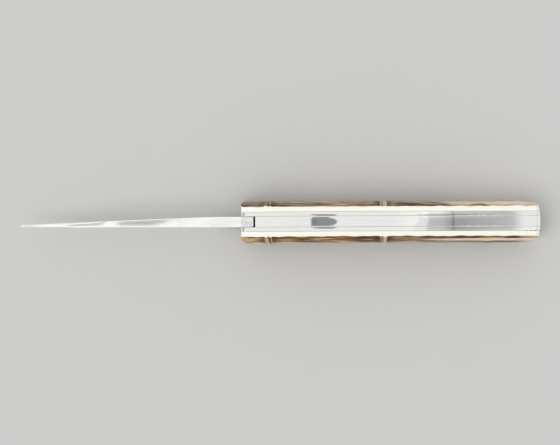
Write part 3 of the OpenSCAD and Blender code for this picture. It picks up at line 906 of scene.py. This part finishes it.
def makeSteel(name, look):
    material, tree, shader = newMaterial(name)
    spacing = {"Line Spacing": look["lineSpacing"], "Line Length": look["lineLength"]}
    polish = addNode(tree, "ShaderNodeGroup", spacing, node_tree=polishGroup).outputs
    lines, smudge, scratch = polish["Lines"], polish["Smudge"], polish["Scratch"]
    base = addMix(fade(lines, 0.3, 0.7), look["dark"], look["light"])
    base = addMix(fade(smudge, 0.45, 0.75, 0.0, look["smudge"]), base, look["stain"])
    rough = fade(smudge, 0.3, 0.75, look["smooth"], look["rough"])
    rough = plus(rough, times(scratch, look["scratch"]))
    if "tang" in look:                          # finely mottled where thumb and spring rub it
        spot = objectPlace(tree)
        onTang = addMath("GREATER_THAN", splitAxes(spot)["X"], handle["front"] * mm)
        mottle = fade(addNoise(spot, 1700.0, 2.0), 0.35, 0.65)
        base = addMix(times(onTang, mottle), base, look["tang"])
        rough = plus(rough, times(onTang, 0.05))
    hasSeamMarks = "seam" in look or "tang" in look
    if hasSeamMarks:
        grime = addNode(tree, "ShaderNodeGroup", node_tree=grimeGroup).outputs
        dark = grime["Gap"]
        if "seam" in look:
            # dirt in the seams, with the painted reflected sliver beside the inner seam
            base = addMix(times(grime["Mask"], look["seam"]), base, look["grime"])
            dark = larger(dark, grime["Butt"])
            # painted highlight along the inner seam
            base = addMix(grime["Painted Glint"], base, seams["rubbedTone"])
            rough = addMix(grime["Painted Glint"], rough, 0.25)
        # painted black shade in the gap, together with the dark dashes at the butt
        base = addMix(dark, base, seams["black"])
        rough = addMix(dark, rough, 0.8)
    metal = minus(1.0, dark) if hasSeamMarks else 1.0
    setInputs(shader, {"Base Color": base, "Roughness": rough, "Metallic": metal})
    height = plus(times(lines, look["relief"]), times(scratch, -look["relief"]))
    addBump(shader, height, 1.0, 0.001 * mm)
    return material


steelLooks = {
    "bladePolish": {
        "dark": (0.80, 0.79, 0.77), "light": (0.90, 0.89, 0.87), "stain": (0.76, 0.75, 0.73),
        "lineSpacing": 0.16, "lineLength": 14.0, "smudge": 0.25, "smooth": 0.025, "rough": 0.06,
        "scratch": 0.03, "relief": 0.12, "tang": (0.62, 0.615, 0.585),
    },
    "springPolish": {
        "dark": (0.79, 0.785, 0.765), "light": (0.85, 0.845, 0.825), "stain": (0.76, 0.75, 0.73),
        "lineSpacing": 0.28, "lineLength": 30.0, "smudge": 0.2, "smooth": 0.012, "rough": 0.03,
        "scratch": 0.02, "relief": 0.05, "seam": 0.9, "grime": (0.10, 0.10, 0.095),
    },
    "linerPolish": {
        "dark": (0.77, 0.77, 0.735), "light": (0.85, 0.85, 0.815), "stain": (0.76, 0.75, 0.72),
        "lineSpacing": 0.24, "lineLength": 26.0, "smudge": 0.2, "smooth": 0.015, "rough": 0.04,
        "scratch": 0.02, "relief": 0.06, "seam": 0.9, "grime": (0.10, 0.10, 0.095),
    },
    "pinSteel": {
        "dark": (0.62, 0.62, 0.61), "light": (0.78, 0.78, 0.77), "stain": (0.5, 0.48, 0.45),
        "lineSpacing": 0.10, "lineLength": 0.6, "smudge": 0.35, "smooth": 0.12, "rough": 0.26,
        "scratch": 0.08, "relief": 0.3,
    },
    "washerBronze": {
        "dark": (0.48, 0.28, 0.10), "light": (0.66, 0.42, 0.18), "stain": (0.24, 0.13, 0.05),
        "lineSpacing": 0.12, "lineLength": 1.5, "smudge": 0.4, "smooth": 0.2, "rough": 0.38,
        "scratch": 0.08, "relief": 0.3,
    },
}


# Fibres of the cane, from its own measures along the back and round the section
def buildFibres():
    streaks = (("Streak", (1.0, 1.0, 1.0), 4.0), ("Patch", (0.8, 0.28, 1.7), 2.0),      # stretch, detail
               ("Fine", (1.6, 6.5, 2.3), 3.0), ("Thread", (0.55, 4.0, 3.1), 1.0))
    sizes = {"Along": 0.0, "Around": 0.0, "Seed": 0.0, "Length": 9.0, "Width": 0.9}
    group, given, result = newGroup("caneFibres", sizes, [label for label, _, _ in streaks])
    along = addMath("DIVIDE", given["Along"], given["Length"])
    around = addMath("DIVIDE", given["Around"], given["Width"])
    spot = addNode(group, "ShaderNodeCombineXYZ", {"X": along, "Y": around, "Z": given["Seed"]}).outputs[0]
    for label, size, detail in streaks:
        scaled = addNode(group, "ShaderNodeVectorMath", {0: spot, 1: size}, operation="MULTIPLY").outputs[0]
        feed(addNoise(scaled, 1.0, detail), result[label])
    return group


def addFibres(along, around, seed, look):
    inputs = {"Along": along, "Around": around, "Seed": seed,
              "Length": look["fibreLength"], "Width": look["fibreWidth"]}
    fibres = addNode(treeOf(along), "ShaderNodeGroup", inputs, node_tree=fibreGroup).outputs
    return fibres["Streak"], fibres["Patch"], fibres["Fine"], fibres["Thread"]


# Tones of each skin over its length, and of the band on its side: (share of the length, colour). The band is
# partly the skin's own tone, with a painted highlight along the outline and painted shade at the left skin's
# rear
skinLooks = {
    "left": {
        "seed": 4.0,
        "tones": (
            (0.00, seen(226, 186, 128)), (0.055, seen(210, 170, 114)), (0.085, seen(166, 126, 78)),
            (0.19, seen(150, 110, 64)), (0.24, seen(136, 100, 60)), (0.34, seen(168, 126, 78)),
            (0.42, seen(126, 90, 62)), (0.52, seen(144, 112, 78)), (0.64, seen(156, 132, 106)),
            (0.78, seen(184, 158, 132)), (0.95, seen(178, 154, 130)), (1.00, seen(226, 206, 176)),
        ),
        # the band: painted highlight along the outline in front, painted shade from about two thirds of the
        # length back
        "rim": (
            (0.00, seen(206, 182, 146)), (0.14, seen(204, 182, 150)), (0.26, seen(178, 152, 120)),
            (0.40, seen(172, 146, 112)), (0.50, seen(190, 164, 132)), (0.58, seen(182, 156, 126)),
            (0.64, seen(140, 116, 90)), (0.72, seen(92, 74, 54)), (0.94, seen(84, 68, 52)),
            (1.00, seen(214, 190, 154)),
        ),
        "rimSlide": 1.1,
        "belt": {"from": 58.0, "full": 70.0, "inner": 1.1, "outer": 4.0, "weight": 0.9,
                 "tone": seen(240, 218, 198)},
        "seam": {"from": 52.0, "full": 62.0, "weight": 0.75},
        "swelling": seen(236, 204, 156), "threads": 0.9, "shift": -1.2, "skip": 2.0, "edge": 0.55,
    },
    "right": {
        "seed": 17.0,
        "tones": (
            (0.00, seen(146, 128, 98)), (0.07, seen(170, 152, 116)), (0.18, seen(136, 118, 84)),
            (0.24, seen(160, 134, 98)), (0.32, seen(200, 166, 124)), (0.40, seen(152, 124, 90)),
            (0.54, seen(156, 128, 100)), (0.66, seen(164, 140, 116)), (0.74, seen(208, 184, 152)),
            (0.90, seen(240, 220, 194)), (1.00, seen(238, 222, 204)),
        ),
        # the band: the skin's own tone with a painted highlight along the outline
        "rim": (
            (0.00, seen(130, 112, 86)), (0.16, seen(140, 122, 94)), (0.22, seen(184, 164, 128)),
            (0.40, seen(150, 124, 92)), (0.60, seen(164, 140, 112)), (0.93, seen(190, 170, 148)),
            (1.00, seen(232, 218, 202)),
        ),
        "rimSlide": 0.0,
        "belt": {"from": 64.0, "full": 72.0, "inner": 1.0, "outer": 4.8, "weight": 0.75,
                 "tone": seen(240, 222, 200)},
        "seam": {"from": 5.0, "full": 9.0, "weight": 0.15},
        "swelling": seen(232, 214, 196), "threads": 0.75, "shift": -1.15, "skip": 68.0, "edge": 1.0,
    },
}
# Lines of each ring: (place along, half width, softness, weight), the pale ones and the dark ones; the dark
# ones are partly painted shade in the dips beside the lobes
ringLines = {
    "left": {
        "pale": ((8.45, 0.45, 0.25, 0.75), (10.02, 0.12, 0.16, 0.6),
                 (48.12, 0.42, 0.25, 0.9), (47.2, 0.5, 0.6, 0.3)),
        "dark": ((9.3, 0.2, 0.15, 0.7), (10.75, 0.35, 0.5, 0.75),
                 (49.4, 0.35, 0.5, 0.6), (45.6, 0.6, 0.7, 0.7)),
    },
    "right": {
        "pale": ((8.25, 0.3, 0.3, 0.35), (9.6, 0.2, 0.2, 0.45), (46.56, 0.1, 0.12, 0.85),
                 (48.05, 0.52, 0.22, 0.9), (47.2, 0.3, 0.4, 0.45)),
        "dark": ((10.4, 0.3, 0.4, 0.5), (45.9, 0.35, 0.35, 0.65), (49.4, 0.4, 0.5, 0.4)),
    },
}
skinShared = {
    "fibreLength": 7.5,
    "fibreWidth": 0.95,
    "ringTone": seen(222, 198, 158),
    "shade": (0.24, 0.18, 0.13),                # what the darkest streaks keep of a tone
    "rimShade": (0.44, 0.37, 0.30),
    "bloom": seen(236, 208, 168),
    "edgeTone": seen(62, 44, 26),
    "nearRings": (9.0, 47.3),                   # the skin is darker close to these places
    "paleButt": (92.0, 97.0),
    "rimStart": (4.9, 6.0),                     # how far down the side the band on it lies
    "rimEnd": (6.8, 9.4),
}


def makeSkin(side):
    look = skinLooks[side]
    material, tree, shader = newMaterial(side + "CaneSkin")
    along, around, ring = attributes(tree, "along", "around", "ring")
    streak, patch, fine, thread = addFibres(along, around, look["seed"], skinShared)
    tone = plus(times(streak, 1.7), patch, times(fine, 0.6), look["shift"])
    for u in skinShared["nearRings"]:
        tone = minus(tone, fade(apart(along, u), 1.6, 4.0, 0.22, 0.0))
    tone = plus(tone, fade(along, *skinShared["paleButt"], 0.0, 0.5))
    length = addMath("DIVIDE", along, handle["length"])
    zone = addRamp(length, look["tones"])
    low = addMix(1.0, zone, skinShared["shade"], "MULTIPLY")
    high = addMix(0.7, zone, skinShared["bloom"])
    base = addMix(fade(tone, 0.26, 0.50), low, zone)
    base = addMix(fade(tone, 0.52, 0.80), base, high)
    threads = fade(thread, 0.38, 0.46, look["threads"], 0.0)
    base = addMix(threads, base, low)

    belt = look["belt"]                         # pale bleached band along the rear half
    waved = plus(around, fade(patch, 0.3, 0.7, -0.35, 0.35))
    wavedMore = plus(around, fade(streak, 0.25, 0.75, -0.7, 0.7))
    wavedIn = minus(waved, fade(along, 60.0, 80.0, 0.8, 0.0))
    band = times(fade(wavedIn, belt["inner"], belt["inner"] + 0.4),
                 fade(waved, belt["outer"] - 0.7, belt["outer"], 1.0, 0.0),
                 fade(along, belt["from"], belt["full"], 0.0, belt["weight"]),
                 fade(streak, 0.3, 0.5, 0.35, 1.0))
    base = addMix(band, base, belt["tone"])

    offSwell = plus(apart(along, scale["swelling"][side][0]), times(patch, 2.4))
    swelling = times(fade(plus(streak, times(fine, 0.4)), 0.5, 0.75, 0.35, 0.95),
                     fade(offSwell, 2.4, 4.4, 1.0, 0.0), fade(waved, 2.8, 4.6, 1.0, 0.0))
    base = addMix(swelling, base, look["swelling"])

    wobble = plus(along, fade(fine, 0.3, 0.7, -0.08, 0.08))
    overTone = fade(tone, 0.0, 0.4, 0.72, 1.0)
    for kind, lineTone in (("dark", low), ("pale", skinShared["ringTone"])):
        for u, half, soft, weight in ringLines[side][kind]:
            line = times(fade(apart(wobble, u), half, half + soft, weight, 0.0), overTone)
            base = addMix(line, base, lineTone)

    slid = plus(wavedMore, fade(along, 36.0, 50.0, 0.0, look["rimSlide"]))      # streaked band on the side: painted highlight along the outline, and painted shade at the left skin's rear
    rim = times(fade(slid, *skinShared["rimStart"]), fade(wavedMore, *skinShared["rimEnd"], 1.0, 0.0),
                fade(patch, 0.3, 0.5, 0.6, 0.95), fade(ring, 0.2, 0.6, 1.0, 0.3),
                larger(fade(tone, 0.10, 0.45, 0.35, 1.0), fade(along, 58.0, 66.0)))
    rimTone = addRamp(length, look["rim"])
    rimDark = addMix(1.0, rimTone, skinShared["rimShade"], "MULTIPLY")
    rimPale = addMix(0.22, rimTone, skinShared["bloom"])
    rimTone = addMix(fade(tone, 0.05, 0.32), rimDark, rimTone)
    base = addMix(rim, base, addMix(fade(tone, 0.38, 0.70), rimTone, rimPale))

    seam = look["seam"]                         # dark line where the skin meets the cut edge
    edge = times(fade(around, 0.5, 1.0, look["edge"], 0.0), fade(patch, 0.35, 0.6, 0.9, 0.2),
                 fade(along, look["skip"], look["skip"] + 5.0, 1.0, 0.15))
    rearEdge = times(fade(waved, 0.8, 1.4, 1.0, 0.0),
                     fade(along, seam["from"], seam["full"], 0.0, seam["weight"]))
    edge = times(larger(edge, rearEdge), fade(along, 88.0, 95.0, 1.0, 0.12))
    base = addMix(edge, base, skinShared["edgeTone"])
    setInputs(shader, {
        "Base Color": base, "Roughness": fade(streak, 0.3, 0.7, 0.46, 0.30), "Specular IOR Level": 0.02,
        "Coat Weight": fade(patch, 0.3, 0.7, 0.08, 0.20), "Coat Roughness": 0.22,
    })
    height = minus(plus(times(fine, 0.5), times(streak, 0.8)), times(threads, 0.5))
    addBump(shader, height, 0.6, 0.06 * mm)
    return material


cutLook = {
    "seed": 31.0, "fibreLength": 12.0, "fibreWidth": 0.35, "poresPerMetre": 2600.0,
    "cream": seen(253, 250, 240), "warm": seen(253, 243, 222), "fibre": seen(240, 229, 205),
    # front: a painted highlight, whiter than the cream, laid over the first few millimetres
    "front": seen(255, 253, 252), "pore": seen(150, 116, 78), "grime": seen(96, 88, 72),
    "buttGrime": (0.02, 0.018, 0.015),
}


def makeCutCane():
    material, tree, shader = newMaterial("cutCane")
    along, fromSkin, endGrain = attributes(tree, "along", "fromSkin", "endGrain")
    streak, patch, fine, _ = addFibres(along, fromSkin, cutLook["seed"], cutLook)
    base = addMix(fade(streak, 0.52, 0.8, 0.0, 0.4), cutLook["cream"], cutLook["fibre"])
    rind = times(fade(fromSkin, 0.0, 0.9, 1.0, 0.0), fade(patch, 0.3, 0.7, 0.35, 1.0))
    base = addMix(rind, base, cutLook["warm"])
    # painted highlight: the cut edge turns whiter over its front few millimetres
    base = addMix(fade(along, 3.0, 6.0, 0.8, 0.0), base, cutLook["front"])
    flattened = stretch(objectPlace(tree), (0.0, 1.0, 1.0))
    pores = addNode(tree, "ShaderNodeTexVoronoi", {"Vector": flattened, "Scale": cutLook["poresPerMetre"]})
    pores = fade(pores.outputs["Distance"], 0.12, 0.34, 0.75, 0.0)
    base = addMix(times(pores, fade(endGrain, 0.6, 0.95)), base, cutLook["pore"])
    grime = addNode(tree, "ShaderNodeGroup", node_tree=grimeGroup).outputs
    base = addMix(times(grime["Mask"], 0.85), base, cutLook["grime"])
    base = addMix(grime["Butt"], base, cutLook["buttGrime"])
    setInputs(shader, {"Base Color": base, "Roughness": fade(fine, 0.3, 0.7, 0.34, 0.5)})
    addBump(shader, plus(fine, streak), 0.5, 0.02 * mm)
    return material


polishGroup, grimeGroup, fibreGroup = buildPolish(), buildSeamGrimeAndPaintedLight(), buildFibres()
metals = {name: makeSteel(name, look) for name, look in steelLooks.items()}
cutCane = makeCutCane()
print("materials made")

makeBlade()
print("blade made")
makeSpring()
for side, sign in (("left", -1), ("right", 1)):
    makeLiner(side, sign)
    makeScale(side, sign, makeSkin(side), cutCane)
print("handle made")

keptNodes = ["pivot_pin", "pivot_bush", "spring_pin", "butt_pin"]
keptNodes += [f"{side}_{name}" for side in ("left", "right") for name in (
    "pivot_collar", "pivot_washer", "front_scale_rivet", "middle_scale_rivet", "rear_scale_rivet")]
for name in keptNodes:
    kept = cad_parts[name]
    kept.data.materials.clear()
    kept.data.materials.append(metals["washerBronze" if name.endswith("washer") else "pinSteel"])
print("pins and washers dressed")

# Floor, light and camera
stageLook = {
    "floor": (0.62, 0.62, 0.61),
    "floorStain": (0.56, 0.56, 0.55),
    "floorHalf": 1.5,                           # metres
    "backdrop": (0.62, 0.62, 0.61),
    "sky": 0.78,
    # The floor glows for reflected rays only, a painted reflection that lets polished metal see a white
    # ground; painted shade keeps it dark right under where the blade leaves the handle.
    "glossGround": 0.35,                        # polished metal sees the ground white by this much,
    "rootAhead": 4.0,                           # but not right under the blade's root
    "rootReach": (4.0, 5.5),
    "rootSide": (2.6, 3.4),
    "sunStrength": 0.75,
    "sunSpread": 40.0,
    "sunTilt": (18, -22),
}
# Cards in the reflected room. Each is bounded by soft straight edges (a, b, c, soft): it lies where
# a * slantX + b * slantY > c, with slants counted from straight up. shade is what it takes of the white,
# and a negative shade brightens it. bend bows a card along slantY about flatY.
flatY = 0.0314
bowLimits = {"slant": 0.025, "steepness": 4.7, "most": 0.0027}
reflectedCards = [
    {   # first pale step on the back of the handle
        "bend": 1.0, "shade": 0.07,
        "edges": ((1, -0.119, 0.0853, 0.0006), (-1, 0, -0.240, 0.015)),
    },
    {"bend": 1.0, "shade": -0.07, "edges": ((1, 0, 0.066, 0.014), (-1, 0.119, -0.0853, 0.0006))},
    {   # second step, fading out towards the butt
        "bend": 1.0, "shade": 0.22,
        "edges": ((1, -0.063, 0.1024, 0.0010), (-1, 0, -0.2395, 0.0115)),
    },
    {"shade": 0.19, "edges": ((1, 0, 0.128, 0.012), (-1, 0, -0.236, 0.018))},
    {   # darker away from the right side
        "shade": 0.17,
        "edges": ((1, 0, 0.102, 0.008), (-1, 0, -0.205, 0.035), (0, -1, -0.044, 0.012)),
    },
    {"shade": 0.17, "edges": ((1, 0, 0.132, 0.008), (-1, 0, -0.165, 0.018), (0, -1, -0.043, 0.014))},
    {   # brighter towards the right side, most of all at the front
        "shade": -0.18,
        "edges": ((1, 0, 0.094, 0.012), (-1, 0, -0.215, 0.04), (0, 1, 0.085, 0.035), (0, -1, -0.7, 0.3)),
    },
    {
        "shade": -0.3,
        "edges": ((1, 0, 0.094, 0.012), (-1, 0, -0.135, 0.02), (0, 1, 0.053, 0.015), (0, -1, -0.7, 0.3)),
    },
    {   # and towards the left
        "shade": -0.2,
        "edges": ((1, 0, 0.094, 0.012), (-1, 0, -0.25, 0.06), (0, -1, 0.045, 0.02), (0, 1, -0.7, 0.3)),
    },
    {"bend": 0.18, "shade": 0.55, "edges": ((1, 0, 0.1398, 0.0006), (-1, 0, -0.1420, 0.0006))},
    {   # long facet on the blade's spine, running out towards its right edge
        "shade": 0.50,
        "edges": ((1, 0.03, -0.2212, 0.0020), (-1, 0.05, 0.1930, 0.0012), (-1, 0, 0.1903, 0.0010),
                  (0, 1, -0.045, 0.09), (0, -1, -0.17, 0.12)),
    },
    {   # short facet nearer the point
        "shade": 0.41,
        "edges": ((1, 0, -0.29, 0.006), (-1, -0.055, 0.2365, 0.0025), (0, 1, 0.0, 0.05), (0, -1, -0.5, 0.3)),
    },
    {
        "shade": 0.24,
        "edges": ((-1, 0, 0.355, 0.012), (1, 0, -1.2, 0.2), (0, 1, -0.6, 0.2), (0, -1, -0.5, 0.2)),
    },
    {   # dark blot low down in front, seen in the rounded ends of the liners
        "shade": 0.54,
        "edges": ((-1, 0, 0.42, 0.04), (1, 0, -5.0, 1.5), (0, 1, -0.17, 0.05), (0, -1, -0.18, 0.05)),
    },
    {"shade": -0.14, "edges": ((-1, 0, 0.176, 0.007),)},        # brighter towards the point
    {   # body of the camera beside its lens
        "shade": 0.62,
        "edges": ((2.73, 1, -0.171, 0.005), (-1, 0, 0.033, 0.0018), (0, 1, -0.026, 0.006),
                  (0, -1, -0.0115, 0.001)),
    },
    {
        "shade": 0.78,
        "edges": ((1, 0, -0.064, 0.002), (-1, 0, 0.0405, 0.0015), (0, 1, 0.047, 0.0006),
                  (0, -1, -0.0512, 0.0006)),
    },
]
lensSpot = {
    "left": -0.0664, "middle": -0.0425, "length": 0.0137, "soft": 0.0004,
    "level": 0.0295, "halfHeight": 0.0182,
    "rim": 0.34,                                # its left end is darker by this much
    "stripes": ((-0.0634, 0.0005, 0.16), (-0.0590, 0.0005, 0.14)),      # paler: (slant, half width, share)
    "tint": (0.30, 0.33, 0.35),
}


def makeFloor():
    half = stageLook["floorHalf"]
    mesh = bpy.data.meshes.new("floor")
    corners = [(-half, -half, 0), (half, -half, 0), (half, half, 0), (-half, half, 0)]
    mesh.from_pydata(corners, [], [(0, 1, 2, 3)])
    material, tree, shader = newMaterial("paleFloor")
    stain = fade(addNoise(objectPlace(tree), 90.0), 0.3, 0.7, 0.0, 0.06)
    base = addMix(stain, stageLook["floor"], stageLook["floorStain"])
    # painted reflection: the floor glows white for reflected rays only, except for a painted shade right
    # under where the blade leaves the handle
    reach, aside = ([v * mm for v in stageLook[label]] for label in ("rootReach", "rootSide"))
    parts = splitAxes(addNode(tree, "ShaderNodeNewGeometry").outputs["Position"])
    paintedRootShade = times(fade(apart(parts["X"], (handle["front"] - stageLook["rootAhead"]) * mm), *reach, 1.0, 0.0),
                 fade(addMath("ABSOLUTE", parts["Y"]), *aside, 1.0, 0.0))
    glossy = addNode(tree, "ShaderNodeLightPath").outputs["Is Glossy Ray"]
    paintedGlossGlow = times(glossy, stageLook["glossGround"], minus(1.0, paintedRootShade))
    setInputs(shader, {"Base Color": base, "Roughness": 0.9, "Specular IOR Level": 0.1,
                       "Emission Color": 1.0, "Emission Strength": paintedGlossGlow})
    mesh.materials.append(material)
    addObject("floor", mesh)


# What one card leaves of the light
def addCard(card, slantX, slantY, bow):
    if "bend" in card:
        slantX = plus(slantX, times(bow, card["bend"]))
        limits = {"Value": slantY, "Min": flatY - bowLimits["slant"], "Max": flatY + bowLimits["slant"]}
        slantY = addNode(treeOf(slantY), "ShaderNodeClamp", limits).outputs[0]
    insides = []
    for a, b, c, soft in card["edges"]:
        side = plus(times(slantX, a), times(slantY, b)) if b else times(slantX, a)
        insides.append(fade(side, c - soft, c + soft))
    return minus(1.0, times(*insides, card["shade"]))


# The lens of a camera: straight at its left end, rounded at its right, with two paler stripes
def addLens(slantX, slantY):
    spot = lensSpot
    left, soft = spot["left"], spot["soft"]
    past = addMath("DIVIDE", larger(minus(slantX, spot["middle"]), 0.0), spot["length"])
    aside = addMath("DIVIDE", minus(slantY, spot["level"]), spot["halfHeight"])
    reach = addMath("SQRT", plus(times(past, past), times(aside, aside)))
    mask = times(fade(reach, 0.975, 1.025, 1.0, 0.0), fade(slantX, left - soft, left + soft))
    for at, half, share in spot["stripes"]:
        mask = times(mask, fade(apart(slantX, at), half, half * 2, 1 - share, 1.0))
    return mask, addMix(fade(slantX, left + 0.004, left + 0.012, spot["rim"], 0.0), spot["tint"], 0.0)


def makeRoom():
    world = bpy.data.worlds.new("room")
    bpy.context.scene.world = world
    world.use_nodes = True
    tree = world.node_tree
    tree.nodes.clear()
    toward = splitAxes(addNode(tree, "ShaderNodeTexCoord").outputs["Generated"])
    up = larger(toward["Z"], 0.02)
    slantX, slantY = addMath("DIVIDE", toward["X"], up), addMath("DIVIDE", toward["Y"], up)
    offY = minus(slantY, flatY)
    bow = addMath("MINIMUM", times(offY, offY, bowLimits["steepness"]), bowLimits["most"])
    light = times(*[addCard(card, slantX, slantY, bow) for card in reflectedCards])
    lensMask, lensTint = addLens(slantX, slantY)
    gloss = addMix(lensMask, light, lensTint)
    path = addNode(tree, "ShaderNodeLightPath").outputs
    tint = addMix(path["Is Glossy Ray"], stageLook["sky"], gloss)
    tint = addMix(path["Is Camera Ray"], tint, stageLook["backdrop"])
    background = addNode(tree, "ShaderNodeBackground", {"Color": tint, "Strength": 1.0})
    output = addNode(tree, "ShaderNodeOutputWorld")
    feed(background.outputs[0], output.inputs["Surface"])


def makeSun():
    lamp = bpy.data.lights.new("softSun", "SUN")
    lamp.energy = stageLook["sunStrength"]
    lamp.angle = math.radians(stageLook["sunSpread"])
    holder = addObject("softSun", lamp)
    holder.rotation_euler = [math.radians(angle) for angle in stageLook["sunTilt"]] + [0]
    holder.visible_glossy = False


cameraPlan = {
    "pixelsPerMm": 3.0,
    "imageWidth": 560,
    "sensor": 36,
    "distance": 2000.0,
    "aimX": -0.05,
    "aimY": -0.31,
    "lean": 1.8,                                # degrees towards the left side of the knife
    "turn": 0.27,
}


def makeCamera():
    plan = cameraPlan
    data = bpy.data.cameras.new("camera")
    data.sensor_width = plan["sensor"]
    data.lens = plan["sensor"] * plan["distance"] * plan["pixelsPerMm"] / plan["imageWidth"]
    holder = addObject("camera", data)
    lean, turn = math.radians(plan["lean"]), math.radians(-plan["turn"])
    tilt = Matrix.Rotation(lean, 4, "X") @ Matrix.Rotation(turn, 4, "Z")
    aim = Vector((plan["aimX"], plan["aimY"], handle["height"])) * mm
    holder.matrix_world = Matrix.Translation(aim) @ tilt @ Matrix.Translation((0, 0, plan["distance"] * mm))
    bpy.context.scene.camera = holder


makeFloor()
makeRoom()
makeSun()
makeCamera()
bpy.context.scene.view_settings.view_transform = "Standard"
print("floor, light and camera made")
